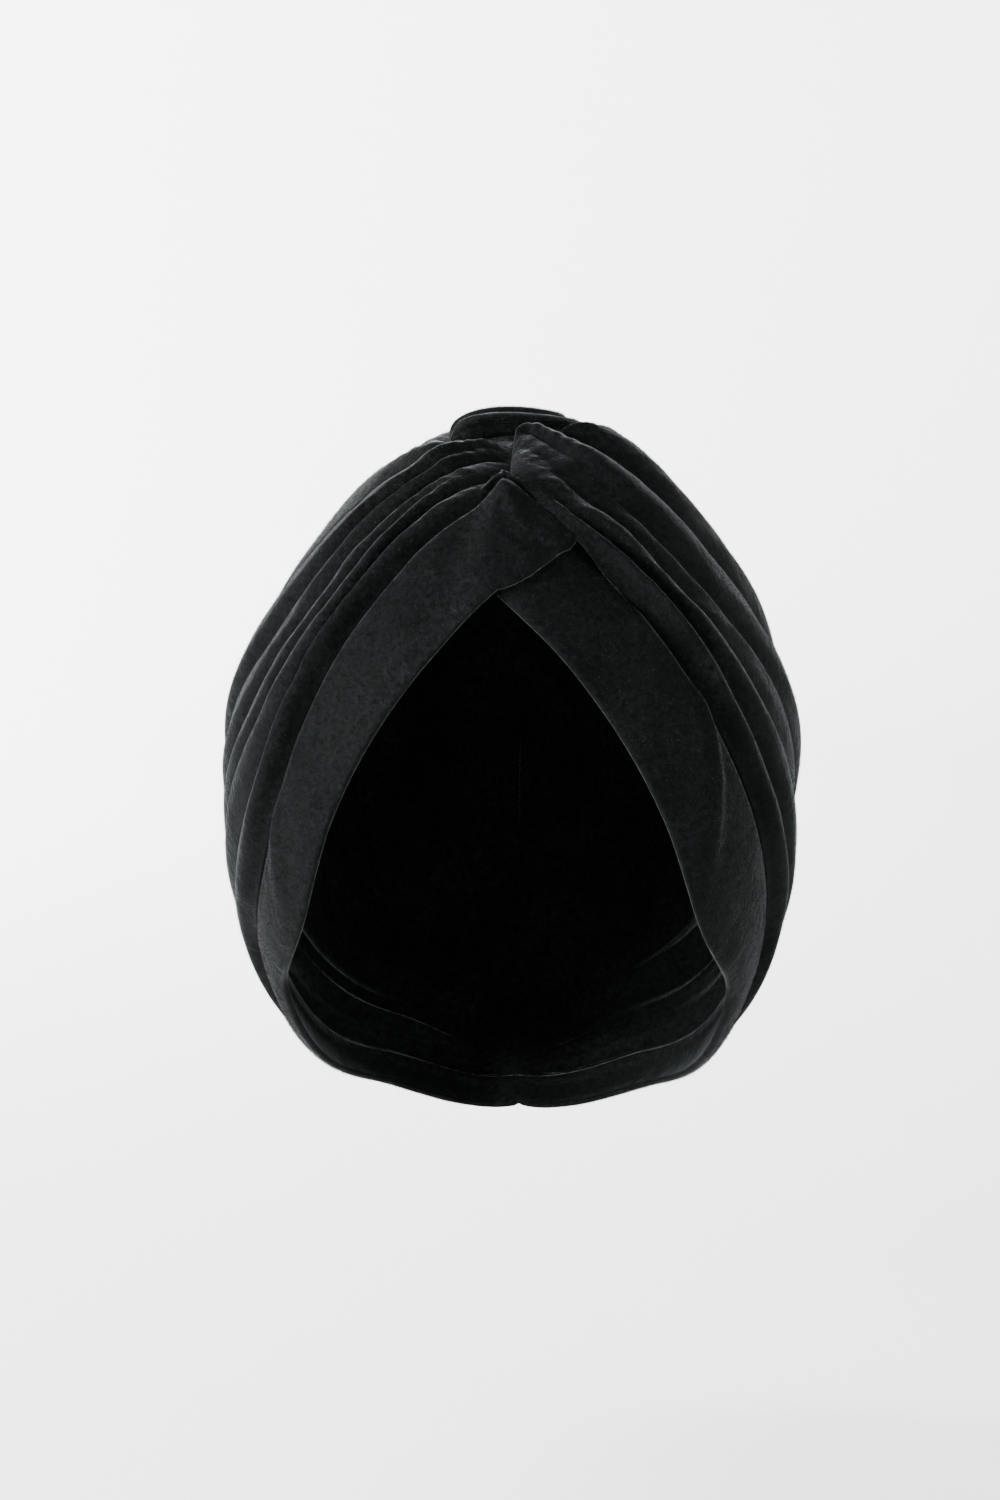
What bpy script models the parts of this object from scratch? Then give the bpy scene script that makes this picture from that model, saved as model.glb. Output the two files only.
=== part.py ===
"""Turban headwrap of stretch velvet with a twisted front, gathered to a seam behind.

Metres, +Z up, front towards -Y. The origin is the top of the hollow, on its upright middle plane.
The cloth lies over one smooth hollow. A place on a half is told by how far it is along the half
(0 at the knot in front, 1 at the seam behind), how far up (0 at the hem, 1 at the crown joint)
and how far it stands off the hollow.
"""
from collections import namedtuple
from math import pi

import bmesh
import bpy
import numpy as np

HOLLOW_HALF_WIDTH = 0.077
HOLLOW_HALF_DEPTH = 0.095
HOLLOW_RISE = 0.105
HOLLOW_DROP = 0.122
CLOTH = 0.0022
EDGE_THICKNESS = 0.0012
LAYER_GAP = 0.0008
JOINT_GAP = 0.0006
JOINT_REACH = 0.025
FOLD_STAND = 0.012
INNER_STAND = 0.0006
BAND_BULGE = 0.0026
KNOT_CREASE = 0.0042
KNOT_SHIFT = 0.0022
GATHER_ROUND = 0.006
LOOP_ROUND = 0.008
PRESSED_START = 0.001
FRONT_MARGIN = 0.004
LEFT_MARGIN = 0.022
RIGHT_MARGIN = 0.009
SEAM_STAND = 0.0030

# Shares without a unit: of a stand, of a slope, or of the way along or up a half.
TAPER_SHARE = 0.23
BROW_SHARE = 0.12
PRESSED_SHARE = 0.283
JOINT_LEAN_SHARE = 1.0
KNOT_LEAN_SHARE = 0.4
LOOP_PUFF_SHARE = 0.36
LOOP_FULL_SHARE = 0.06
LOOP_GONE_SHARE = 0.24
LOOP_TOP_SHARES = (0.82, 0.92)
FRONT_BULGE_SHARE = 0.7
INNER_BULGE_SHARE = 0.4
BAND_TUCK_SHARE = 0.024
BAND_TURN_SHARE = 0.008
BAND_LEAST_SHARE = 0.006
LIP_SHARE = 0.001
EDGE_MARGIN_SHARE = 0.010
EDGE_CLEAR_SHARE = 0.034
CROSSING_MARGIN_SHARE = 0.01
CROSSING_CLEAR_SHARE = 0.07
LAYERED_TO_SHARE = 0.02
SINGLE_FROM_SHARE = 0.12
SEAM_START_SHARE = 0.94
FADE_SHARE = 0.09
LEFT_KNOT_SHARE = 0.5
RIGHT_KNOT_SHARE = 0.0
KNOT_CALM_SHARE = 0.20

# Degrees up from the front between which something changes.
KNOT_STARTS = (42, 56)
KNOT_ENDS = (80, 92)
LOOP_ENDS = (84, 94)
BEHIND_STARTS = (92, 112)
MARGIN_WIDENS = (70, 80)

COLUMNS = 34
ROLL_SIDES = 10
LEFT, RIGHT = -1, 1

Station = namedtuple("Station", "name along hem_pitch hem_swing crown_pitch swell")
STATIONS = [
    Station("knot", 0.00, 38.5, 0, 76, 0.60),
    Station("brow", 0.14, 26, 17, 90, 0.84),
    Station("temple", 0.30, 8, 33, 108, 1.20),
    Station("side", 0.46, -16, 45, 128, 1.02),
    Station("jaw", 0.62, -55, 57, 152, 0.88),
    Station("ear", 0.83, -109, 34.5, 182, 0.66),
    Station("seam", 1.00, -119, 0, 205, 0.50),
]

# How far each fold stands off as a share of FOLD_STAND, the part along the half in which it shows,
# and how far up it lies at each station.
Fold = namedtuple("Fold", "name stand grows fades knot brow temple side jaw ear seam")
LEFT_FOLDS = [
    Fold("lower edge", 0.30, 0.00, 1.00, 0.540, 0.395, 0.250, 0.110, 0.090, 0.090, 0.115),
    Fold("first ridge", 0.84, 0.00, 1.00, 0.560, 0.428, 0.280, 0.138, 0.116, 0.118, 0.135),
    Fold("first groove", 0.62, 0.00, 0.60, 0.590, 0.480, 0.300, 0.162, 0.142, 0.142, 0.162),
    Fold("second ridge", 0.90, 0.16, 1.00, 0.620, 0.508, 0.322, 0.186, 0.166, 0.166, 0.188),
    Fold("second groove", 0.72, 0.22, 0.75, 0.650, 0.534, 0.345, 0.208, 0.190, 0.194, 0.215),
    Fold("short ridge", 0.88, 0.24, 0.60, 0.680, 0.560, 0.368, 0.232, 0.216, 0.224, 0.243),
    Fold("deep groove", 0.56, 0.00, 0.80, 0.750, 0.590, 0.400, 0.266, 0.250, 0.258, 0.278),
    Fold("third ridge", 0.86, 0.00, 1.00, 0.785, 0.622, 0.428, 0.296, 0.280, 0.288, 0.308),
    Fold("third groove", 0.74, 0.26, 0.70, 0.808, 0.646, 0.450, 0.322, 0.306, 0.314, 0.334),
    Fold("fourth ridge", 1.04, 0.10, 0.85, 0.838, 0.674, 0.476, 0.352, 0.338, 0.346, 0.366),
    Fold("long groove", 0.64, 0.00, 0.55, 0.876, 0.712, 0.526, 0.404, 0.390, 0.398, 0.418),
    Fold("crown ridge", 0.86, 0.00, 0.90, 0.906, 0.764, 0.604, 0.490, 0.472, 0.472, 0.486),
    Fold("crown groove", 0.62, 0.10, 0.50, 0.932, 0.820, 0.690, 0.590, 0.562, 0.556, 0.566),
    Fold("upper ridge", 0.56, 0.10, 0.70, 0.953, 0.866, 0.776, 0.700, 0.672, 0.662, 0.666),
    Fold("upper groove", 0.36, 0.00, 1.00, 0.974, 0.916, 0.866, 0.820, 0.800, 0.790, 0.786),
    Fold("crown joint", 0.28, 0.00, 1.00, 1.000, 1.000, 1.000, 1.000, 1.000, 1.000, 1.000),
]
RIGHT_FOLDS = [
    Fold("lower edge", 0.30, 0.00, 1.00, 0.550, 0.390, 0.275, 0.170, 0.120, 0.108, 0.115),
    Fold("front ridge", 0.86, 0.00, 1.00, 0.580, 0.418, 0.299, 0.194, 0.144, 0.136, 0.146),
    Fold("front groove", 0.64, 0.20, 0.80, 0.615, 0.445, 0.320, 0.215, 0.166, 0.160, 0.170),
    Fold("double ridge", 0.96, 0.20, 1.00, 0.660, 0.484, 0.344, 0.239, 0.192, 0.188, 0.198),
    Fold("wide groove", 0.64, 0.20, 0.90, 0.715, 0.560, 0.388, 0.282, 0.236, 0.234, 0.246),
    Fold("low ridge", 0.82, 0.32, 0.66, 0.765, 0.625, 0.432, 0.320, 0.276, 0.276, 0.290),
    Fold("low groove", 0.66, 0.32, 0.66, 0.815, 0.690, 0.470, 0.350, 0.306, 0.308, 0.322),
    Fold("main ridge", 1.06, 0.00, 1.00, 0.880, 0.758, 0.520, 0.388, 0.344, 0.346, 0.362),
    Fold("main groove", 0.66, 0.06, 0.80, 0.912, 0.798, 0.586, 0.440, 0.398, 0.400, 0.416),
    Fold("crown ridge", 1.14, 0.00, 0.75, 0.934, 0.832, 0.650, 0.514, 0.472, 0.470, 0.484),
    Fold("crown groove", 0.84, 0.16, 0.55, 0.952, 0.864, 0.720, 0.600, 0.562, 0.554, 0.566),
    Fold("upper ridge", 0.94, 0.10, 0.75, 0.966, 0.892, 0.790, 0.704, 0.674, 0.662, 0.666),
    Fold("upper groove", 0.52, 0.00, 1.00, 0.982, 0.926, 0.870, 0.824, 0.802, 0.790, 0.786),
    Fold("crown joint", 0.28, 0.00, 1.00, 1.000, 1.000, 1.000, 1.000, 1.000, 1.000, 1.000),
]

# The left band's end crosses over the right band: its free edge where it lies right of the middle.
Lap = namedtuple("Lap", "along lower")
CROSSING = [
    Lap(0.00, 0.000),
    Lap(0.04, 0.110),
    Lap(0.09, 0.225),
    Lap(0.14, 0.310),
    Lap(0.18, 0.350),
]

# The roll over the crown joint, from its tip left of the knot. Half width, underside and top are
# shares of FOLD_STAND.
Turn = namedtuple("Turn", "name pitch swing half_width under top")
ROLL = [
    Turn("left tip", 78.5, 13.8, 0.26, 0.50, 0.76),
    Turn("left end", 79, 12.2, 0.50, 0.38, 0.96),
    Turn("bend", 79.5, 9.6, 0.60, 0.37, 1.03),
    Turn("over the knot", 80, 6, 0.64, 0.37, 1.04),
    Turn("middle", 81, -1, 0.65, 0.37, 1.02),
    Turn("turn", 83, -7, 0.68, 0.37, 1.00),
    Turn("right shoulder", 89, -11, 0.70, 0.37, 0.92),
    Turn("crown", 101, -9, 0.70, 0.34, 0.82),
    Turn("top", 120, -3, 0.64, 0.32, 0.70),
    Turn("rear crown", 142, -1, 0.56, 0.315, 0.65),
    Turn("rear", 166, 0, 0.43, 0.315, 0.58),
    Turn("end", 184, 0, 0.18, 0.315, 0.50),
]


def through(places, values, at):
    """Smooth curve through the values of a table, read at any place."""
    places, values, at = (np.asarray(v, float) for v in (places, values, at))
    slope = np.gradient(values, places)
    i = np.clip(np.searchsorted(places, at, side="right") - 1, 0, len(places) - 2)
    step = places[i + 1] - places[i]
    u = np.clip((at - places[i]) / step, 0, 1)
    rise = values[i + 1] - values[i]
    a, b = slope[i] * step, slope[i + 1] * step
    return values[i] + a * u + (3 * rise - 2 * a - b) * u ** 2 + (a + b - 2 * rise) * u ** 3


def heading(pitch, swing, side):
    """Direction from the middle of the hollow: pitch up from the front, swing out to the side."""
    pitch, swing = np.radians(pitch), np.radians(swing)
    flat = np.cos(swing)
    return np.stack([side * np.sin(swing), -flat * np.cos(pitch), flat * np.sin(pitch)], -1)


def pitch_of(points):
    """Degrees up from the front, over the top and down behind, seen from the side."""
    return np.degrees(np.arctan2(points[..., 2] + HOLLOW_RISE, -points[..., 1])) % 360


def on_hollow(direction, stand):
    """Point that stands off the hollow in a direction, from the hollow's top."""
    x, y, z = (direction[..., k] for k in range(3))
    up = np.clip(z, 0, None)
    wide = (HOLLOW_HALF_WIDTH + stand) * x * (1 - TAPER_SHARE * up ** 2)
    deep = (HOLLOW_HALF_DEPTH + stand) * y * np.where(y < 0, 1 + BROW_SHARE * up ** 2, 1)
    high = np.where(z > 0, HOLLOW_RISE + stand, HOLLOW_DROP + stand) * z
    return np.stack([wide, deep, high - HOLLOW_RISE], -1)


def station(column, along):
    return through([s.along for s in STATIONS], [getattr(s, column) for s in STATIONS], along)


def place(side, along, up, stand):
    """Point on a half. Below 0 along, it has crossed the middle to the other half."""
    side = np.where(along < 0, -side, side)
    along = np.abs(along)
    hem = heading(station("hem_pitch", along), station("hem_swing", along), side)
    crown = heading(station("crown_pitch", along), 0 * along, side)
    turn = np.arccos(np.sum(hem * crown, -1))
    direction = (np.sin((1 - up) * turn)[..., None] * hem + np.sin(up * turn)[..., None] * crown)
    return on_hollow(direction / np.sin(turn)[..., None], stand)


def fold_line(fold, along):
    shares = [getattr(fold, s.name) for s in STATIONS]
    return through([s.along for s in STATIONS], shares, np.abs(along))


def ease(start, end, value):
    """0 before the start, 1 after the end, smooth between."""
    u = np.clip((value - start) / (end - start), 0, 1)
    return u * u * (3 - 2 * u)


def half_net(side, along, up, stand):
    """Points of one face of a half. The joint on the middle plane leans, so it shows no slit."""
    net = place(side, along, up, stand)
    level = place(side, along, up, 0 * stand)
    pitch = pitch_of(level)
    near = 1 - ease(0, JOINT_REACH, np.abs(level[..., 0]))
    behind = ease(*BEHIND_STARTS, pitch)
    knot = ease(*KNOT_STARTS, pitch) * (1 - ease(*KNOT_ENDS, pitch))
    net[..., 0] += side * JOINT_GAP / 2 + near * JOINT_LEAN_SHARE * behind * (stand - CLOTH)
    net[..., 0] += near * knot * (KNOT_SHIFT - KNOT_LEAN_SHARE * (stand - KNOT_CREASE))
    return net


def closed_wall(name, side, along, up, outer, inner, material):
    """Closed wall of a half between an outer and an inner face."""
    rows, columns = along.shape
    faces = [half_net(side, along, up, stand) for stand in (outer, inner)]
    shape = bmesh.new()
    nets = [[[shape.verts.new(p) for p in row] for row in net] for net in faces]
    for net, turned in zip(nets, (False, True)):
        for r in range(rows - 1):
            for c in range(columns - 1):
                a, b = net[r][c], net[r][c + 1]
                d, e = net[r + 1][c + 1], net[r + 1][c]
                for face in ((a, b, d), (a, d, e)):
                    shape.faces.new(face[::-1] if turned else face)
    rim = [(0, c) for c in range(columns)] + [(r, columns - 1) for r in range(1, rows)]
    rim += [(rows - 1, c) for c in range(columns - 2, -1, -1)]
    rim += [(r, 0) for r in range(rows - 2, 0, -1)]
    for (r, c), (q, d) in zip(rim, rim[1:] + rim[:1]):
        a, b = nets[0][r][c], nets[0][q][d]
        e, f = nets[1][q][d], nets[1][r][c]
        shape.faces.new((b, a, e))
        shape.faces.new((a, f, e))
    bmesh.ops.recalc_face_normals(shape, faces=shape.faces)
    return finish(name, shape, material)


def finish(name, shape, material):
    mesh = bpy.data.meshes.new(name)
    shape.to_mesh(mesh)
    shape.free()
    mesh.materials.append(material)
    piece = bpy.data.objects.new(name, mesh)
    turban.objects.link(piece)
    return piece


def velvet(name, shade, roughness):
    material = bpy.data.materials.new(name)
    material.use_nodes = True
    shader = material.node_tree.nodes["Principled BSDF"]
    shader.inputs["Base Color"].default_value = (shade, shade, shade * 1.04, 1)
    shader.inputs["Roughness"].default_value = roughness
    shader.inputs["Sheen Weight"].default_value = 0.35
    return material


def columns_from(start, count):
    """Places along a half, closer together near the knot."""
    return start + (1 - start) * np.linspace(0, 1, count) ** 1.22


def fold_share(folds, index, along):
    """Stand of a fold. Where it does not show, it lies level with its neighbours.

    Near the knot the folds of the left half are calmer and those of the right half merge.
    """
    fold = folds[index]
    before, after = folds[max(index - 1, 0)], folds[min(index + 1, len(folds) - 1)]
    level = (before.stand + 2 * fold.stand + after.stand) / 4
    least = LEFT_KNOT_SHARE if folds is LEFT_FOLDS else RIGHT_KNOT_SHARE
    shown = least + (1 - least) * ease(0, KNOT_CALM_SHARE, along)
    if fold.grows > 0:
        shown = shown * ease(fold.grows - FADE_SHARE, fold.grows + FADE_SHARE, along)
    if fold.fades < 1:
        shown = shown * (1 - ease(fold.fades - FADE_SHARE, fold.fades + FADE_SHARE, along))
    return level + (fold.stand - level) * shown + 0 * along


def fold_net(folds, along):
    """Rows along every fold with one more between neighbours: how far up and how far off."""
    ups, shares = [], []
    for i in range(len(folds) - 1):
        low, high = fold_share(folds, i, along), fold_share(folds, i + 1, along)
        for part in (0, 0.5):
            ups.append(fold_line(folds[i], along) * (1 - part) + fold_line(folds[i + 1], along) * part)
            shares.append(low if part == 0 else 0.3 * np.minimum(low, high) + 0.7 * np.maximum(low, high))
    ups.append(fold_line(folds[-1], along))
    shares.append(fold_share(folds, len(folds) - 1, along))
    return np.array(ups), np.array(shares)


def at_knot(side, along, up, stand):
    """Both halves turn down into the crease at the knot. The right one ends in a full round loop."""
    level = place(side, along, up, 0 * stand)
    pitch = pitch_of(level)
    front = 1 - ease(*LOOP_ENDS, pitch)
    if side == RIGHT:
        full = (1 - ease(LOOP_FULL_SHARE, LOOP_GONE_SHARE, along)) * (1 - ease(*LOOP_TOP_SHARES, up))
        stand = stand * (1 + LOOP_PUFF_SHARE * front * full)
        out = np.clip(np.abs(level[..., 0]) / LOOP_ROUND, 0, 1)
        lift = np.sqrt(1 - (1 - out) ** 2)
    else:
        lift = ease(0, GATHER_ROUND, np.abs(level[..., 0]))
    return stand + front * (1 - lift) * (KNOT_CREASE - stand)


def pleats(name, side, folds, over, material):
    """Gathered half. over gives how far its inner face must stand off at each place."""
    along = columns_from(0, COLUMNS)
    up, share = fold_net(folds, along)
    grid = np.broadcast_to(along, up.shape)
    swell = station("swell", grid)
    swell = swell + (1 - swell) * np.clip(0.6 - share, 0, 0.35) * 2
    outer = pressed(side, grid, up, at_knot(side, grid, up, share * FOLD_STAND * swell))
    outer = outer + (SEAM_STAND - outer) * ease(SEAM_START_SHARE, 1, grid)
    inner = np.maximum(outer - CLOTH, INNER_STAND)
    inner = np.maximum(inner, over(grid, up))
    lip = (np.arange(len(up)) == 0)[:, None]
    outer = np.maximum(outer, inner + CLOTH)
    outer = np.where(lip, inner + EDGE_THICKNESS, outer)
    return closed_wall(name, side, grid, up, outer, inner, material)


def pressed(side, along, up, stand):
    """The cloth lies flat under the crown roll."""
    points = place(side, along, up, 0 * stand)
    pitch, swing, half, bottom = roll_path()[:4]
    line = on_hollow(heading(pitch, -swing, RIGHT), 0 * half)
    away = np.linalg.norm(points[..., None, :] - line, axis=-1) - half
    here = pitch_of(points)
    beside = LEFT_MARGIN if side == LEFT else RIGHT_MARGIN
    margin = FRONT_MARGIN + (beside - FRONT_MARGIN) * ease(*MARGIN_WIDENS, here)
    room = ease(PRESSED_START, margin, away.min(-1))
    flat = PRESSED_SHARE * FOLD_STAND
    return np.minimum(stand, flat + room * np.clip(stand - flat, 0, None))


def roll_path():
    """Pitch, swing, half width, underside and top along the crown roll."""
    marks = np.arange(len(ROLL))
    at = np.linspace(0, len(ROLL) - 1, 2 * len(ROLL) + 5)
    columns = [through(marks, [getattr(t, name) for t in ROLL], at) for name in Turn._fields[1:]]
    return columns[:2] + [FOLD_STAND * share for share in columns[2:]]


def over_left(along, up):
    """The left pleats lie over the upper edge of the left band."""
    edge = fold_line(LEFT_FOLDS[0], along)
    on_band = 1 - ease(BAND_TUCK_SHARE + EDGE_MARGIN_SHARE, BAND_TUCK_SHARE + EDGE_CLEAR_SHARE, up - edge)
    front = 1 - ease(LAYERED_TO_SHARE, SINGLE_FROM_SHARE, along)
    return on_band * (INNER_STAND + CLOTH + LAYER_GAP + front * (CLOTH + LAYER_GAP))


def over_right(along, up):
    """The right pleats lie over the right band and over the crossing end of the left one."""
    edge = fold_line(RIGHT_FOLDS[0], along)
    on_band = 1 - ease(BAND_TUCK_SHARE + EDGE_MARGIN_SHARE, BAND_TUCK_SHARE + EDGE_CLEAR_SHARE, up - edge)
    end = CROSSING[-1].along
    crossing = 1 - ease(end + CROSSING_MARGIN_SHARE, end + CROSSING_CLEAR_SHARE, along)
    return on_band * (INNER_STAND + CLOTH + LAYER_GAP + crossing * (CLOTH + LAYER_GAP))


def left_band(material):
    crossing = CROSSING[-1].along
    along = np.concatenate([np.linspace(-crossing, 0, 8)[:-1], columns_from(0, COLUMNS)])
    lower = through([p.along for p in CROSSING], [p.lower for p in CROSSING], -along)
    lower = np.where(along < 0, lower, 0)
    left_edge, right_edge = (fold_line(folds[0], along) for folds in (LEFT_FOLDS, RIGHT_FOLDS))
    edge = left_edge + (right_edge - left_edge) * (1 - ease(-0.04, 0, along))
    over = (CLOTH + LAYER_GAP) * (1 - ease(LAYERED_TO_SHARE / 2, SINGLE_FROM_SHARE, along))
    return band("left_band", LEFT, along, lower, edge, over, material)


def right_band(material):
    along = columns_from(0.0, COLUMNS)
    edge = fold_line(RIGHT_FOLDS[0], along)
    return band("right_band", RIGHT, along, 0 * along, edge, 0 * along, material)


def band(name, side, along, lower, edge, over, material):
    """Smooth folded edge: full along the hem, thin where the pleats lie on it from their edge up."""
    share = np.array([0, 0.12, 0.3, 0.5, 0.72, 0.9, 1])[:, None]
    below = np.maximum(edge - BAND_TURN_SHARE, lower + BAND_LEAST_SHARE)
    rows = [lower + (below - lower) * share]
    rows += [np.maximum(edge - LIP_SHARE, below + BAND_LEAST_SHARE - LIP_SHARE)[None]]
    rows += [np.maximum(edge, below + BAND_LEAST_SHARE)[None] + BAND_TUCK_SHARE]
    up = np.concatenate(rows)
    grid = np.broadcast_to(along, up.shape)
    free = ease(0.20, 0.34, grid) if side == RIGHT else ease(0.06, 0.2, grid)
    full = np.array([0, 0.25, 0.6, 0.85, 1.0, 0.95, 0.7, 0.1, 0])[:, None]
    seam = 1 - ease(SEAM_START_SHARE, 1, grid)
    free = free * seam
    front = FRONT_BULGE_SHARE * (side == LEFT) * (1 - ease(0.1, 0.25, grid))
    outer = INNER_STAND + over + CLOTH + BAND_BULGE * full * (front + free)
    inner = INNER_STAND + over + 0 * grid + BAND_BULGE * INNER_BULGE_SHARE * full * free
    tuck = 0.4 * CLOTH * (np.arange(len(up)) == 0)[:, None]
    return closed_wall(name, side, grid, up, outer - tuck, inner + tuck * (side == LEFT), material)


def crown_roll(material):
    """Rolled strand: a tube along the turns of its table, round above and flat below."""
    pitch, swing, half, under, top = roll_path()
    path = on_hollow(heading(pitch, -swing, RIGHT), 0.5 * (under + top))
    along = np.gradient(path, axis=0)
    along /= np.linalg.norm(along, axis=1)[:, None]
    out = on_hollow(heading(pitch, -swing, RIGHT), top) - path
    out /= np.linalg.norm(out, axis=1)[:, None]
    across = np.cross(along, out)
    across /= np.linalg.norm(across, axis=1)[:, None]
    angle = np.linspace(0, 2 * pi, ROLL_SIDES, endpoint=False)
    full = np.where(np.sin(angle) < 0, 0.5, 1.0)
    sideways = np.sign(np.cos(angle)) * np.abs(np.cos(angle)) ** full
    upwards = np.sign(np.sin(angle)) * np.abs(np.sin(angle)) ** full
    shape = bmesh.new()
    rings = []
    for i in range(len(path)):
        wide, high = half[i], 0.5 * (top[i] - under[i])
        ring = [path[i] + wide * c * across[i] + high * u * out[i] for c, u in zip(sideways, upwards)]
        rings.append([shape.verts.new(p) for p in ring])
    for low, high in zip(rings, rings[1:]):
        for k in range(ROLL_SIDES):
            n = (k + 1) % ROLL_SIDES
            shape.faces.new((low[k], low[n], high[n]))
            shape.faces.new((low[k], high[n], high[k]))
    for ring in (rings[0], rings[-1]):
        tip = shape.verts.new(sum((v.co for v in ring[1:]), ring[0].co.copy()) / len(ring))
        for k in range(ROLL_SIDES):
            shape.faces.new((ring[k], ring[(k + 1) % ROLL_SIDES], tip))
    bmesh.ops.recalc_face_normals(shape, faces=shape.faces)
    return finish("crown_roll", shape, material)


for old in list(bpy.data.objects):
    bpy.data.objects.remove(old, do_unlink=True)
turban = bpy.data.collections.new("turban")
bpy.context.scene.collection.children.link(turban)

left_band(velvet("left_band_velvet", 0.012, 0.90))
right_band(velvet("right_band_velvet", 0.012, 0.90))
pleats("left_pleats", LEFT, LEFT_FOLDS, over_left, velvet("left_pleats_velvet", 0.012, 0.88))
pleats("right_pleats", RIGHT, RIGHT_FOLDS, over_right, velvet("right_pleats_velvet", 0.012, 0.88))
crown_roll(velvet("crown_roll_velvet", 0.012, 0.88))
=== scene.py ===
from math import radians

import bpy
import numpy as np
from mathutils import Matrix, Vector, noise


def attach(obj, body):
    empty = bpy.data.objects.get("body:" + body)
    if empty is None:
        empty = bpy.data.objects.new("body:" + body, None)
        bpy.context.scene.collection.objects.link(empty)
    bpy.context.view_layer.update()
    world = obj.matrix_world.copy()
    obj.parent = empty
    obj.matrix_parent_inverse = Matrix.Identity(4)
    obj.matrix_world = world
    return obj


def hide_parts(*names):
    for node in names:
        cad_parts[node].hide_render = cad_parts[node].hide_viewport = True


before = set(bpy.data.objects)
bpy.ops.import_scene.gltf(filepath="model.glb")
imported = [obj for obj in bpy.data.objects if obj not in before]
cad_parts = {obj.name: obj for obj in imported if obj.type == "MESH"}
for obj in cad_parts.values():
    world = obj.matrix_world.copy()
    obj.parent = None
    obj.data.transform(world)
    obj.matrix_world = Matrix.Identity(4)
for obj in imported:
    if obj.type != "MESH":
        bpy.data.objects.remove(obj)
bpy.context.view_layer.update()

print("frame loaded")

# Shared shape. Metres, from the top of the hollow, where a note doesn't say otherwise.
hollow = {
    "halfWidth": 0.077, "halfDepth": 0.095, "rise": 0.105, "drop": 0.122,
    "taper": 0.23, "brow": 0.12,  # shares: narrower towards the top, fuller above the forehead
}
cloth = {
    "thick": 0.0022, "edge": 0.0012, "rimReach": 0.0014, "layerGap": 0.0008,
    "jointGap": -0.0002, "jointReach": 0.025,  # the halves meet, so no light comes through the joint
    "jointLean": 1.0,  # share of the stand
}
relief = {
    "stand": 0.012, "inner": 0.0006, "seam": 0.0030,
    "pressedStart": 0.001, "frontMargin": 0.004, "leftMargin": 0.022, "rightMargin": 0.009,
    "pressed": 0.283, "pressedSteps": 60,  # share of the stand under the roll, places along the roll
    "seamStart": 0.94, "fade": 0.09,  # along
}
knot = {
    "crease": 0.0042, "shift": 0.0022, "gatherRound": 0.006, "loopRound": 0.008,
    "lean": 0.4, "loopPuff": 0.36, "loopTop": 1.8,  # shares of a stand or a rounding
    "leftLeast": 0.5, "rightLeast": 0.0,  # how much the folds show at the knot
    "calm": 0.20, "clears": (0.02, 0.12), "puffFades": (0.06, 0.24),  # along
    "puffTop": (0.82, 0.92), "roundTop": (0.80, 0.94),  # up
}
# Degrees up from the front between which something changes
pitches = {"knotStarts": (42, 56), "knotEnds": (80, 92), "loopEnds": (84, 94),
           "behindStarts": (92, 112), "marginWidens": (70, 80)}
left, right = -1, 1
outerNets = {}  # outer face of each cloth, for its pile

# name, along, hemPitch, hemSwing, crownPitch, swell
stations = [
    ("knot", 0.00, 38.5, 0, 76, 0.60),
    ("brow", 0.14, 26, 17, 90, 0.84),
    ("temple", 0.30, 8, 33, 108, 1.20),
    ("side", 0.46, -16, 45, 128, 1.02),
    ("jaw", 0.62, -55, 57, 152, 0.88),
    ("ear", 0.83, -109, 34.5, 182, 0.66),
    ("seam", 1.00, -119, 0, 205, 0.50),
]
column = {"hemPitch": 2, "hemSwing": 3, "crownPitch": 4, "swell": 5}
alongs = [row[1] for row in stations]

# name, stand as a share of the relief's, where it grows and fades along,
# how far up at knot, brow, temple, side, jaw, ear, seam
leftFolds = [
    ("lower edge", 0.30, 0.00, 1.00, 0.540, 0.395, 0.250, 0.110, 0.090, 0.090, 0.115),
    ("first ridge", 0.84, 0.00, 1.00, 0.560, 0.428, 0.280, 0.138, 0.116, 0.118, 0.135),
    ("first groove", 0.62, 0.00, 0.60, 0.590, 0.480, 0.300, 0.162, 0.142, 0.142, 0.162),
    ("second ridge", 0.90, 0.16, 1.00, 0.620, 0.508, 0.322, 0.186, 0.166, 0.166, 0.188),
    ("second groove", 0.72, 0.22, 0.75, 0.650, 0.534, 0.345, 0.208, 0.190, 0.194, 0.215),
    ("short ridge", 0.88, 0.24, 0.60, 0.680, 0.560, 0.368, 0.232, 0.216, 0.224, 0.243),
    ("deep groove", 0.56, 0.00, 0.80, 0.750, 0.590, 0.400, 0.266, 0.250, 0.258, 0.278),
    ("third ridge", 0.86, 0.00, 1.00, 0.785, 0.622, 0.428, 0.296, 0.280, 0.288, 0.308),
    ("third groove", 0.74, 0.26, 0.70, 0.808, 0.646, 0.450, 0.322, 0.306, 0.314, 0.334),
    ("fourth ridge", 1.04, 0.10, 0.85, 0.838, 0.674, 0.476, 0.352, 0.338, 0.346, 0.366),
    ("long groove", 0.64, 0.00, 0.55, 0.876, 0.712, 0.526, 0.404, 0.390, 0.398, 0.418),
    ("crown ridge", 0.86, 0.00, 0.90, 0.906, 0.764, 0.604, 0.490, 0.472, 0.472, 0.486),
    ("crown groove", 0.62, 0.10, 0.50, 0.932, 0.820, 0.690, 0.590, 0.562, 0.556, 0.566),
    ("upper ridge", 0.56, 0.10, 0.70, 0.953, 0.866, 0.776, 0.700, 0.672, 0.662, 0.666),
    ("upper groove", 0.36, 0.00, 1.00, 0.974, 0.916, 0.866, 0.820, 0.800, 0.790, 0.786),
    ("crown joint", 0.28, 0.00, 1.00, 1.000, 1.000, 1.000, 1.000, 1.000, 1.000, 1.000),
]
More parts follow.
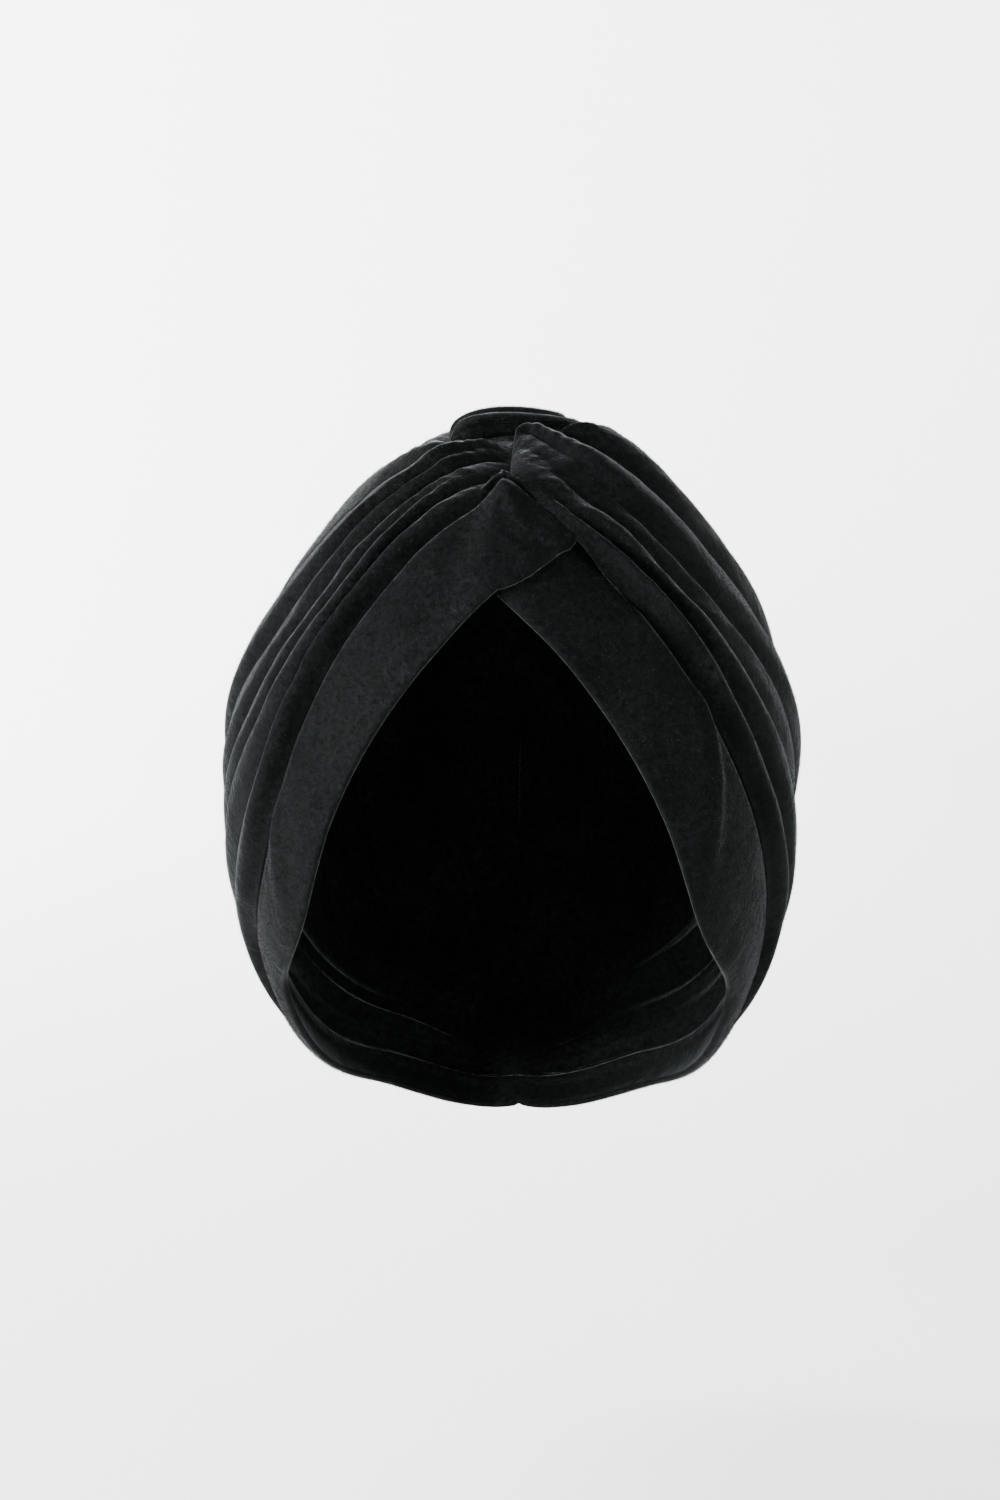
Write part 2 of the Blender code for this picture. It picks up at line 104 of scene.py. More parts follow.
rightFolds = [
    ("lower edge", 0.30, 0.00, 1.00, 0.550, 0.390, 0.275, 0.170, 0.120, 0.108, 0.115),
    ("front ridge", 0.86, 0.00, 1.00, 0.580, 0.418, 0.299, 0.194, 0.144, 0.136, 0.146),
    ("front groove", 0.64, 0.20, 0.80, 0.615, 0.445, 0.320, 0.215, 0.166, 0.160, 0.170),
    ("double ridge", 0.96, 0.20, 1.00, 0.660, 0.484, 0.344, 0.239, 0.192, 0.188, 0.198),
    ("wide groove", 0.64, 0.20, 0.90, 0.715, 0.560, 0.388, 0.282, 0.236, 0.234, 0.246),
    ("low ridge", 0.82, 0.32, 0.66, 0.765, 0.625, 0.432, 0.320, 0.276, 0.276, 0.290),
    ("low groove", 0.66, 0.32, 0.66, 0.815, 0.690, 0.470, 0.350, 0.306, 0.308, 0.322),
    ("main ridge", 1.06, 0.00, 1.00, 0.880, 0.758, 0.520, 0.388, 0.344, 0.346, 0.362),
    ("main groove", 0.66, 0.06, 0.80, 0.912, 0.798, 0.586, 0.440, 0.398, 0.400, 0.416),
    ("crown ridge", 1.14, 0.00, 0.75, 0.934, 0.832, 0.650, 0.514, 0.472, 0.470, 0.484),
    ("crown groove", 0.84, 0.16, 0.55, 0.952, 0.864, 0.720, 0.600, 0.562, 0.554, 0.566),
    ("upper ridge", 0.94, 0.10, 0.75, 0.966, 0.892, 0.790, 0.704, 0.674, 0.662, 0.666),
    ("upper groove", 0.52, 0.00, 1.00, 0.982, 0.926, 0.870, 0.824, 0.802, 0.790, 0.786),
    ("crown joint", 0.28, 0.00, 1.00, 1.000, 1.000, 1.000, 1.000, 1.000, 1.000, 1.000),
]
# The left band's end over the right band: along, free edge
crossing = [(0.00, 0.000), (0.04, 0.110), (0.09, 0.225), (0.14, 0.310), (0.18, 0.350)]
# A band's face: share of the way up, how full it is
bandFace = [(0, 0), (0.12, 0.25), (0.3, 0.6), (0.5, 0.85), (0.72, 1), (0.9, 0.95), (1, 0.7)]
# name, pitch, swing, then half width, underside and top as shares of the relief's stand
rollTurns = [
    ("left tip", 78.5, 13.8, 0.26, 0.50, 0.76),
    ("left end", 79, 12.2, 0.50, 0.38, 0.96),
    ("bend", 79.5, 9.6, 0.60, 0.37, 1.03),
    ("over the knot", 80, 6, 0.64, 0.37, 1.04),
    ("middle", 81, -1, 0.65, 0.37, 1.02),
    ("turn", 83, -7, 0.68, 0.37, 1.00),
    ("right shoulder", 89, -11, 0.70, 0.37, 0.92),
    ("crown", 101, -9, 0.70, 0.33, 0.82),
    ("top", 120, -3, 0.64, 0.29, 0.70),
    ("rear crown", 142, -1, 0.56, 0.29, 0.65),
    ("rear", 166, 0, 0.43, 0.27, 0.50),
    ("end", 184, 0, 0.18, 0.24, 0.36),
]


def through(places, values, at):
    # smooth curve through a table's values
    places, values, at = (np.asarray(v, float) for v in (places, values, at))
    slope = np.gradient(values, places)
    i = np.clip(np.searchsorted(places, at, side="right") - 1, 0, len(places) - 2)
    step = places[i + 1] - places[i]
    u = np.clip((at - places[i]) / step, 0, 1)
    rise = values[i + 1] - values[i]
    a, b = slope[i] * step, slope[i + 1] * step
    return values[i] + a * u + (3 * rise - 2 * a - b) * u**2 + (a + b - 2 * rise) * u**3


def ease(start, end, value):
    u = np.clip((value - start) / (end - start), 0, 1)
    return u * u * (3 - 2 * u)


def heading(pitch, swing, side):
    pitch, swing = np.radians(pitch), np.radians(swing)
    flat = np.cos(swing)
    return np.stack([side * np.sin(swing), -flat * np.cos(pitch), flat * np.sin(pitch)], -1)


def pitchOf(points):
    return np.degrees(np.arctan2(points[..., 2] + hollow["rise"], -points[..., 1])) % 360


def onHollow(direction, stand):
    x, y, z = (direction[..., k] for k in range(3))
    up = np.clip(z, 0, None)
    wide = (hollow["halfWidth"] + stand) * x * (1 - hollow["taper"] * up**2)
    deep = (hollow["halfDepth"] + stand) * y * np.where(y < 0, 1 + hollow["brow"] * up**2, 1)
    high = np.where(z > 0, hollow["rise"] + stand, hollow["drop"] + stand) * z
    return np.stack([wide, deep, high - hollow["rise"]], -1)


def station(name, along):
    return through(alongs, [row[column[name]] for row in stations], along)


def foldLine(fold, along):
    return through(alongs, fold[4:], np.abs(along))


def place(side, along, up, stand):
    # the point of a half: along from the knot, up from the hem, and how far off the hollow
    side = np.where(along < 0, -side, side)  # below 0 it has crossed to the other half
    along = np.abs(along)
    hem = heading(station("hemPitch", along), station("hemSwing", along), side)
    crown = heading(station("crownPitch", along), 0 * along, side)
    turn = np.arccos(np.sum(hem * crown, -1))
    direction = np.sin((1 - up) * turn)[..., None] * hem + np.sin(up * turn)[..., None] * crown
    return onHollow(direction / np.sin(turn)[..., None], stand)


def halfNet(side, along, up, stand):
    # the halves lean over each other at the joint behind, and their crease at the knot is shifted
    net = place(side, along, up, stand)
    level = place(side, along, up, 0 * stand)
    pitch = pitchOf(level)
    near = 1 - ease(0, cloth["jointReach"], np.abs(level[..., 0]))
    behind = ease(*pitches["behindStarts"], pitch)
    inFront = ease(*pitches["knotStarts"], pitch) * (1 - ease(*pitches["knotEnds"], pitch))
    lean = near * cloth["jointLean"] * behind * (stand - cloth["thick"])
    net[..., 0] += side * cloth["jointGap"] / 2 + lean
    net[..., 0] += near * inFront * (knot["shift"] - knot["lean"] * (stand - knot["crease"]))
    return net


def rollPath(count):
    # pitch, swing, half width, underside and top at evenly spaced places along the roll
    turns = np.arange(len(rollTurns))
    at = np.linspace(0, len(rollTurns) - 1, count)
    pitch, swing, *shares = (through(turns, [row[k] for row in rollTurns], at) for k in range(1, 6))
    return [pitch, swing] + [relief["stand"] * share for share in shares]


def pressed(side, along, up, stand):
    # the cloth lies flat under the roll and rises again beside it
    points = place(side, along, up, 0 * stand)
    pitch, swing, half = rollPath(relief["pressedSteps"])[:3]
    line = onHollow(heading(pitch, -swing, right), 0 * half)
    away = np.full(stand.shape, 1.0)
    for spot, width in zip(line, half):
        away = np.minimum(away, np.linalg.norm(points - spot, axis=-1) - width)
    beside = relief["leftMargin"] if side == left else relief["rightMargin"]
    widened = ease(*pitches["marginWidens"], pitchOf(points))
    margin = relief["frontMargin"] + (beside - relief["frontMargin"]) * widened
    room = ease(relief["pressedStart"], margin, away)
    flat = relief["pressed"] * relief["stand"]
    return np.minimum(stand, flat + room * np.clip(stand - flat, 0, None))


def crumple(along, up, scales, seed):
    spots = zip(along.ravel() * scales[0], up.ravel() * scales[1])
    return np.array([noise.noise(Vector((a, u, seed))) for a, u in spots]).reshape(along.shape)


# Velvet. A noise is its scale, detail and roughness, and a range is where its ramp starts and ends.
velvetLook = {
    "dark": (0.0003, 0.0005, 0.0005), "light": (0.0016, 0.0019, 0.0019),
    "worn": (45, 6, 0.7), "wornRange": (0.35, 0.65),
    "pileNoise": (700, 4, 0.8), "pileRange": (0.38, 0.68), "pileTones": (0.1, 2.6), "pile": 1.0,
    "roughNoise": (90, 4, 0.55), "roughRange": (0.3, 0.7), "rough": 0.9, "roughSpread": (-0.1, 0.06),
    "bump": 0.45, "bumpHeight": 0.0007, "fineNoise": (1000, 3, 0.7),
    "coarseNoise": (230, 3, 0.5), "coarse": 0.6, "napNoise": (60, 3, 0.6), "nap": 4.0,
    "sheen": 0.095, "sheenRough": 0.22, "tint": (0.9, 0.99, 1.0), "specular": 0.03,
}


def velvet(name, look):
    material = bpy.data.materials.new(name)
    material.use_nodes = True
    tree = material.node_tree
    shader = tree.nodes["Principled BSDF"]
    where = tree.nodes.new("ShaderNodeTexCoord")

    def pattern(settings):
        node = tree.nodes.new("ShaderNodeTexNoise")
        for label, value in zip(("Scale", "Detail", "Roughness"), settings):
            node.inputs[label].default_value = value
        tree.links.new(where.outputs["Object"], node.inputs["Vector"])
        return node.outputs["Fac"]

    def ramp(source, low, high, ends):
        node = tree.nodes.new("ShaderNodeValToRGB")
        for stop, spot, colour in zip(node.color_ramp.elements, ends, (low, high)):
            stop.position, stop.color = spot, (*colour, 1)
        tree.links.new(source, node.inputs["Fac"])
        return node.outputs["Color"]

    worn = ramp(pattern(look["worn"]), look["dark"], look["light"], look["wornRange"])
    pileLow, pileHigh = ((tone,) * 3 for tone in look["pileTones"])
    pile = ramp(pattern(look["pileNoise"]), pileLow, pileHigh, look["pileRange"])
    mix = tree.nodes.new("ShaderNodeMix")
    mix.data_type, mix.blend_type = "RGBA", "MULTIPLY"
    mix.inputs["Factor"].default_value = look["pile"]
    tree.links.new(worn, mix.inputs["A"])
    tree.links.new(pile, mix.inputs["B"])
    tree.links.new(mix.outputs["Result"], shader.inputs["Base Color"])
    smooth, rough = ((look["rough"] + spread,) * 3 for spread in look["roughSpread"])
    roughness = ramp(pattern(look["roughNoise"]), smooth, rough, look["roughRange"])
    tree.links.new(roughness, shader.inputs["Roughness"])
    bump = tree.nodes.new("ShaderNodeBump")
    bump.inputs["Strength"].default_value = look["bump"]
    bump.inputs["Distance"].default_value = look["bumpHeight"]
    height = pattern(look["fineNoise"])
    for settings, share in ((look["coarseNoise"], look["coarse"]), (look["napNoise"], look["nap"])):
        both = tree.nodes.new("ShaderNodeMath")
        both.operation = "MULTIPLY_ADD"
        both.inputs[1].default_value = share
        tree.links.new(pattern(settings), both.inputs[0])
        tree.links.new(height, both.inputs[2])
        height = both.outputs["Value"]
    tree.links.new(height, bump.inputs["Height"])
    tree.links.new(bump.outputs["Normal"], shader.inputs["Normal"])
    shader.inputs["Sheen Weight"].default_value = look["sheen"]
    shader.inputs["Sheen Roughness"].default_value = look["sheenRough"]
    shader.inputs["Sheen Tint"].default_value = (*look["tint"], 1)
    shader.inputs["Specular IOR Level"].default_value = look["specular"]
    return material


def inScene(name, data):
    thing = bpy.data.objects.new(name, data)
    bpy.context.scene.collection.objects.link(thing)
    return thing


def netFaces(rows, columns):
    r, c = np.meshgrid(np.arange(rows - 1), np.arange(columns - 1), indexing="ij")
    a = (r * columns + c).ravel()
    return np.stack([a, a + 1, a + columns + 1, a + columns], -1)


def closedWall(name, outer, inner, material, rimSteps=4):
    # outer and inner nets, joined round their edge by a half-round rim
    rows, columns = outer.shape[:2]
    rim = [(0, c) for c in range(columns)] + [(r, columns - 1) for r in range(1, rows)]
    rim += [(rows - 1, c) for c in range(columns - 2, -1, -1)] + [(r, 0) for r in range(rows - 2, 0, -1)]
    points = [outer.reshape(-1, 3), inner.reshape(-1, 3)]
    total = rows * columns
    loops = [[r * columns + c for r, c in rim]]
    middle = 0.5 * (outer + inner)
    for step in range(1, rimSteps):
        angle = np.pi * step / rimSteps
        ring = []
        for r, c in rim:
            back = middle[min(max(r, 1), rows - 2), min(max(c, 1), columns - 2)]
            outward = middle[r, c] - back
            thick = 0.5 * (outer[r, c] - inner[r, c])
            size = np.linalg.norm(outward) or 1
            reach = outward / size * min(np.linalg.norm(thick), cloth["rimReach"])
            ring.append(middle[r, c] + thick * np.cos(angle) + reach * np.sin(angle))
        loops.append([2 * total + (step - 1) * len(rim) + k for k in range(len(rim))])
        points.append(np.array(ring))
    loops.append([total + r * columns + c for r, c in rim])
    quads = netFaces(rows, columns)
    faces = quads.tolist() + (quads[:, ::-1] + total).tolist()
    for low, high in zip(loops, loops[1:]):
        for k in range(len(rim)):
            n = (k + 1) % len(rim)
            faces.append((low[n], low[k], high[k], high[n]))
    return meshPiece(name, np.concatenate(points), faces, material)


def meshPiece(name, points, faces, material):
    mesh = bpy.data.meshes.new(name)
    mesh.from_pydata([tuple(p) for p in points], [], faces)
    mesh.validate()
    volume = 0.0
    mesh.calc_loop_triangles()
    for tri in mesh.loop_triangles:
        a, b, c = (mesh.vertices[v].co for v in tri.vertices)
        volume += a.dot(b.cross(c))
    if volume < 0:
        mesh.flip_normals()
    mesh.polygons.foreach_set("use_smooth", [True] * len(mesh.polygons))
    mesh.materials.append(material)
    return inScene(name, mesh)


def columnsFrom(start, count, crowding=1.22):
    # columns lie closer together at the knot
    return start + (1 - start) * np.linspace(0, 1, count) ** crowding


def foldShare(folds, index, along):
    # where a fold does not show, it lies level with its neighbours
    before, after = folds[max(index - 1, 0)][1], folds[min(index + 1, len(folds) - 1)][1]
    stand, grows, fades = folds[index][1:4]
    level, fade = (before + 2 * stand + after) / 4, relief["fade"]
    least = knot["leftLeast"] if folds is leftFolds else knot["rightLeast"]
    shown = least + (1 - least) * ease(0, knot["calm"], along)
    if grows > 0:
        shown = shown * ease(grows - fade, grows + fade, along)
    if fades < 1:
        shown = shown * (1 - ease(fades - fade, fades + fade, along))
    return level + (stand - level) * shown


def foldNet(folds, along, look):
    # how far up each row lies, and its stand as a share
    ups, shares = [], []
    lines = [foldLine(fold, along) for fold in folds]
    alongScale, lineScale = look["swayScales"]
    for i in range(2, len(folds) - 1):
        sway = [noise.noise(Vector((a * alongScale, i * lineScale, look["seed"]))) for a in along]
        room = np.minimum(lines[i + 1] - lines[i], lines[i] - lines[i - 1])
        lines[i] = lines[i] + look["wander"] * room * np.array(sway) * ease(*knot["clears"], along)
    for i in range(len(folds) - 1):
        low, high = foldShare(folds, i, along), foldShare(folds, i + 1, along)
        for u in np.linspace(0, 1, look["rowsPerFold"], endpoint=False):
            ups.append(lines[i] * (1 - u) + lines[i + 1] * u)
            part = np.where(high > low, u, 1 - u)
            lift = np.sin(0.5 * np.pi * part) ** look["ridgePower"]  # round ridges, narrow grooves
            shares.append(np.minimum(low, high) + np.abs(high - low) * lift)
    ups.append(lines[-1])
    shares.append(foldShare(folds, len(folds) - 1, along))
    return np.array(ups), np.array(shares)


def atKnot(side, along, up, stand):
    # both halves turn down into the crease at the knot, the right one as a full round loop
    level = place(side, along, up, 0 * stand)
    off = np.abs(level[..., 0])
    front = 1 - ease(*pitches["loopEnds"], pitchOf(level))
    if side == right:
        puff = front * (1 - ease(*knot["puffFades"], along)) * (1 - ease(*knot["puffTop"], up))
        stand = stand * (1 + knot["loopPuff"] * puff)
        rounding = knot["loopRound"] * (1 + knot["loopTop"] * ease(*knot["roundTop"], up))
        lift = np.sqrt(1 - (1 - np.clip(off / rounding, 0, 1)) ** 2)
    else:
        lift = ease(0, knot["gatherRound"], off)
    return stand + front * (1 - lift) * (knot["crease"] - stand)


def overBand(folds, look, along, up):
    # height of the bands that lie under a half's lower edge, two of them near the knot
    onBand = 1 - ease(*look["bandEnds"], up - foldLine(folds[0], along))
    twoBands = 1 - ease(*look["twoBandsEnd"], along)
    step = cloth["thick"] + cloth["layerGap"]
    return onBand * (relief["inner"] + step + twoBands * step)


def pleats(name, side, folds, look):
    along = columnsFrom(0, look["columns"])
    up, share = foldNet(folds, along, look)
    grid = np.broadcast_to(along, up.shape)
    swell = station("swell", grid)
    deep = np.clip(look["plainBelow"] - share, 0, look["plainMost"]) * look["plainGain"]
    swell = swell + (1 - swell) * deep  # low cloth swells less
    lumps = crumple(grid, up, look["lumpScales"], look["seed"])
    creases = crumple(grid, up, look["creaseScales"], look["seed"] + look["creaseSeedStep"])
    fade = ease(*look["unevenFrom"], grid) * (1 - ease(*look["unevenTo"], grid))
    outer = share * relief["stand"] * swell * (1 + look["lumps"] * lumps * fade)
    outer = outer + look["creases"] * creases * fade
    outer = pressed(side, grid, up, atKnot(side, grid, up, outer))
    outer = outer + (relief["seam"] - outer) * ease(relief["seamStart"], 1, grid)
    over = overBand(folds, look, grid, up)
    inner = np.maximum(np.maximum(outer - cloth["thick"], relief["inner"]), over)
    lip = np.clip(np.arange(len(up)) / look["lipRows"], 0, 1)[:, None] ** look["lipPower"]
    # the lips sink into the cloth at the knot
    thinned = 1 - look["knotThinned"] * (1 - ease(*knot["clears"], grid)) * (1 - lip)
    inner = inner - (1 - thinned) * cloth["edge"]
    thick = (cloth["edge"] + (cloth["thick"] - cloth["edge"]) * lip) * thinned
    outer = np.maximum(outer * lip + (inner + thick) * (1 - lip), inner + thick)
    outerNets[name] = halfNet(side, grid, up, outer)
    material = velvet(name.replace("cloth", "velvet"), look)
    return closedWall(name, outerNets[name], halfNet(side, grid, up, inner), material)


def bandRows(lower, edge, look):
    # up the face, over the turned edge and on to the tuck under the gathers:
    # how far up each row lies, and how full it is
    rise = np.linspace(0, 1, look["rows"])[:, None]
    below = np.maximum(edge - look["turn"], lower + look["least"])
    last = np.maximum(edge - look["lip"], below + look["turnLeast"])
    end = np.maximum(edge, below + look["least"]) + look["tuck"]
    ups, full = [lower + (below - lower) * rise], [np.interp(rise, *zip(*bandFace))]
    fullest, fullAtTuck = bandFace[-1][1], look["fullAtTuck"]
    for u in look["turnRows"]:
        ups.append((below + (last - below) * u)[None])
        full.append([[fullest - (fullest - fullAtTuck) * u]])
    for u in look["tuckRows"]:
        ups.append((last + (end - last) * u)[None])
        full.append([[fullAtTuck * (1 - u)]])
    return np.concatenate(ups), np.concatenate(full)


def band(name, side, along, lower, edge, over, look):
    up, full = bandRows(lower, edge, look)
    grid = np.broadcast_to(along, up.shape)
    free = ease(*look["freeFrom"], grid) * (1 - ease(relief["seamStart"], 1, grid))
    front = look["front"] * (1 - ease(*look["frontFades"], grid))
    soft = crumple(grid, up, look["lumpScales"], look["seed"]) * full * (look["lumpsLeast"] + free)
    outer = relief["inner"] + over + cloth["thick"] + look["bulge"] * full * (front + free)
    outer = outer + look["lumps"] * np.maximum(soft, 0) * np.maximum(free, look["frontLumps"])
    for start, slope, width, height in look["ridges"]:
        part = (up - lower) / np.maximum(edge - lower, look["narrowest"])
        outer = outer + height * np.exp(-(((grid - start - slope * part) / width) ** 2)) * full
    for start, rise, width, tall, height in look["bumps"]:
        outer = outer + height * np.exp(-(((grid - start) / width) ** 2) - ((up - rise) / tall) ** 2)
    inner = relief["inner"] + over + look["bulge"] * look["innerBulge"] * full * free
    outerNets[name] = halfNet(side, grid, up, outer)
    material = velvet(name.replace("cloth", "velvet"), look)
    return closedWall(name, outerNets[name], halfNet(side, grid, up, inner), material)


def addPiece(piece, node):
    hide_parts(node)
    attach(piece, "root")
    print(node, "made, surface", round(sum(face.area for face in piece.data.polygons), 4))


# Left band. Metres for heights and bulges; along and up for the rest.
leftBandLook = dict(
    velvetLook, columns=220, crossingColumns=40, rows=26, seed=3.1,
    turn=0.008, least=0.006, lip=0.001, turnLeast=0.004, tuck=0.024, narrowest=0.02,
    turnRows=(0.25, 0.5, 0.75, 1.0), tuckRows=(0.33, 0.66, 1.0), fullAtTuck=0.1,
    bulge=0.0026, innerBulge=0.4, front=0.7, frontFades=(0.1, 0.25), freeFrom=(0.06, 0.2),
    lumps=0.0012, lumpScales=(6, 14), lumpsLeast=0.3, frontLumps=1.0,
    ridges=[(-0.10, 0.10, 0.022, 0.0012), (0.50, -0.05, 0.018, 0.0012)],  # start, slope, width, height
    bumps=[(-0.015, 0.47, 0.045, 0.06, 0.0022),  # start, rise, width, tall, height
           (-0.06, 0.20, 0.04, 0.025, 0.0016), (-0.11, 0.30, 0.035, 0.025, 0.0016)],
    edgeTurns=(-0.04, 0), overEnds=(0.01, 0.12),  # where it turns to the right half, where it lies over it
)
crossed = np.linspace(-crossing[-1][0], 0, leftBandLook["crossingColumns"])[:-1]
along = np.concatenate([crossed, columnsFrom(0, leftBandLook["columns"])])
lower = np.where(along < 0, through(*zip(*crossing), -along), 0)
leftEdge, rightEdge = foldLine(leftFolds[0], along), foldLine(rightFolds[0], along)
edge = leftEdge + (rightEdge - leftEdge) * (1 - ease(*leftBandLook["edgeTurns"], along))
over = (cloth["thick"] + cloth["layerGap"]) * (1 - ease(*leftBandLook["overEnds"], along))
leftBand = band("left_band_cloth", left, along, lower, edge, over, leftBandLook)
addPiece(leftBand, "left_band")

# Right band
rightBandLook = dict(
    leftBandLook, columns=200, seed=8.4, sheen=0.115, front=0.0, freeFrom=(0.20, 0.34), frontLumps=0.0,
    ridges=[(0.46, -0.07, 0.016, 0.0020), (0.24, 0.06, 0.02, 0.0010)], bumps=[],
)
along = columnsFrom(0, rightBandLook["columns"])
edge = foldLine(rightFolds[0], along)
rightBand = band("right_band_cloth", right, along, 0 * along, edge, 0 * along, rightBandLook)
addPiece(rightBand, "right_band")

# Left pleats
leftPleatsLook = dict(
    velvetLook, columns=230, rowsPerFold=7, ridgePower=0.9, seed=1.7, sheen=0.155,
    wander=0.9, swayScales=(5, 3.7), plainBelow=0.6, plainMost=0.35, plainGain=2,
    lumps=0.14, lumpScales=(7, 9), creases=0.0006, creaseScales=(5, 45), creaseSeedStep=5,
    unevenFrom=(0.03, 0.2), unevenTo=(0.9, 1), lipRows=4, lipPower=0.6, knotThinned=0.8,
    bandEnds=(0.034, 0.058), twoBandsEnd=(0.02, 0.12),  # up past the lower edge, along
)
leftPleats = pleats("left_pleats_cloth", left, leftFolds, leftPleatsLook)
addPiece(leftPleats, "left_pleats")

# Right pleats
rightPleatsLook = dict(leftPleatsLook, seed=12.2, twoBandsEnd=(0.19, 0.25))
rightPleats = pleats("right_pleats_cloth", right, rightFolds, rightPleatsLook)
addPiece(rightPleats, "right_pleats")

# Crown roll
rollLook = dict(
    velvetLook, rings=150, sides=48, sheen=0.155, tip=0.0016,
    strands=5, strandDepth=0.3, strandPower=7, halfTurns=1.3,
    strandsFrom=(-0.3, 0.1), flatPower=0.5,  # sines round the section: strands above, flat below
)


def aimed(vectors):
    return vectors / np.linalg.norm(vectors, axis=1)[:, None]


def roll(name, look):
    pitch, swing, half, under, top = rollPath(look["rings"])
    direction = heading(pitch, -swing, right)
    path = onHollow(direction, 0.5 * (under + top))
    run = aimed(np.gradient(path, axis=0))
    out = aimed(onHollow(direction, top) - path)
    across = aimed(np.cross(run, out))
    rings, sides = look["rings"], look["sides"]
    angle = np.linspace(0, 2 * np.pi, sides, endpoint=False)
    sine, cosine = np.sin(angle), np.cos(angle)
    twist = np.linspace(0, look["halfTurns"] * np.pi, rings)[:, None]
    grooves = np.abs(np.sin(0.5 * look["strands"] * angle[None] + twist)) ** look["strandPower"]
    strand = 1 - look["strandDepth"] * grooves
    strand = 1 + (strand - 1) * ease(*look["strandsFrom"], sine)[None]
    power = np.where(sine < 0, look["flatPower"], 1.0)
    wide = half[:, None] * strand * np.sign(cosine) * np.abs(cosine) ** power
    high = 0.5 * (top - under)[:, None] * strand * np.sign(sine) * np.abs(sine) ** power
    net = path[:, None] + wide[..., None] * across[:, None] + high[..., None] * out[:, None]
    faces = []
    for i in range(rings - 1):
        for k in range(sides):
            n = (k + 1) % sides
            faces.append((i * sides + k, i * sides + n, (i + 1) * sides + n, (i + 1) * sides + k))
    points = list(net.reshape(-1, 3))
    for ring, outward in ((0, -1), (rings - 1, 1)):
        points.append(net[ring].mean(0) + outward * look["tip"] * run[ring])
        for k in range(sides):
            face = (ring * sides + k, ring * sides + (k + 1) % sides, len(points) - 1)
            faces.append(face if outward > 0 else face[::-1])
    outerNets[name] = np.concatenate([net, net[:, :1]], axis=1)
    return meshPiece(name, points, faces, velvet(name.replace("cloth", "velvet"), look))


crownRoll = roll("crown_roll_cloth", rollLook)
addPiece(crownRoll, "crown_roll")

# Pile, by Geometry Nodes: short hairs that stand on the outer face of every cloth
pileLook = {
    "length": 0.0008, "width": 0.00006, "sides": 3, "sizes": (0.5, 1.2), "seed": 7,
    "tilt": 0.9, "leanFrom": (-1, -1, 0), "leanTo": (1, 1, 6.3),  # radians
    "perSquareMetre": {"left_band": 2200000, "right_band": 2200000, "left_pleats": 950000,
                       "right_pleats": 950000, "crown_roll": 1600000},
}


def pileTree(look):
    tree = bpy.data.node_groups.new("pile", "GeometryNodeTree")
    nodes, link = tree.nodes, tree.links.new
    face = tree.interface
    face.new_socket("Geometry", in_out="INPUT", socket_type="NodeSocketGeometry")
    kinds = {"Density": "Float", "Length": "Float", "Width": "Float", "Tilt": "Float",
             "Seed": "Int", "Material": "Material"}
    ids = {}
    for label, kind in kinds.items():
        socket = face.new_socket(label, in_out="INPUT", socket_type="NodeSocket" + kind)
        ids[label] = socket.identifier
    face.new_socket("Geometry", in_out="OUTPUT", socket_type="NodeSocketGeometry")
    given, result = nodes.new("NodeGroupInput"), nodes.new("NodeGroupOutput")
    scatter = nodes.new("GeometryNodeDistributePointsOnFaces")
    link(given.outputs["Geometry"], scatter.inputs["Mesh"])
    link(given.outputs["Density"], scatter.inputs["Density"])
    link(given.outputs["Seed"], scatter.inputs["Seed"])
    cone = nodes.new("GeometryNodeMeshCone")
    cone.inputs["Vertices"].default_value = look["sides"]
    cone.fill_type = "NGON"
    link(given.outputs["Length"], cone.inputs["Depth"])
    link(given.outputs["Width"], cone.inputs["Radius Bottom"])
    lean = nodes.new("FunctionNodeRandomValue")
    lean.data_type = "FLOAT_VECTOR"
    lean.inputs["Min"].default_value = look["leanFrom"]
    lean.inputs["Max"].default_value = look["leanTo"]
    link(given.outputs["Seed"], lean.inputs["Seed"])
    scaled = nodes.new("ShaderNodeVectorMath")
    scaled.operation = "SCALE"
    link(lean.outputs["Value"], scaled.inputs["Vector"])
    link(given.outputs["Tilt"], scaled.inputs["Scale"])
    turn = nodes.new("FunctionNodeEulerToRotation")
    link(scaled.outputs["Vector"], turn.inputs["Euler"])
    both = nodes.new("FunctionNodeRotateRotation")
    both.rotation_space = "LOCAL"
    link(scatter.outputs["Rotation"], both.inputs["Rotation"])
    link(turn.outputs["Rotation"], both.inputs["Rotate By"])
    size = nodes.new("FunctionNodeRandomValue")
    size.inputs[2].default_value, size.inputs[3].default_value = look["sizes"]  # a single number's ends
    link(given.outputs["Seed"], size.inputs["Seed"])
    stand = nodes.new("GeometryNodeInstanceOnPoints")
    link(scatter.outputs["Points"], stand.inputs["Points"])
    link(cone.outputs["Mesh"], stand.inputs["Instance"])
    link(both.outputs["Rotation"], stand.inputs["Rotation"])
    link(size.outputs[1], stand.inputs["Scale"])
    real = nodes.new("GeometryNodeRealizeInstances")
    paint = nodes.new("GeometryNodeSetMaterial")
    link(stand.outputs["Instances"], real.inputs["Geometry"])
    link(real.outputs["Geometry"], paint.inputs["Geometry"])
    link(given.outputs["Material"], paint.inputs["Material"])
    link(paint.outputs["Geometry"], result.inputs["Geometry"])
    return tree, ids


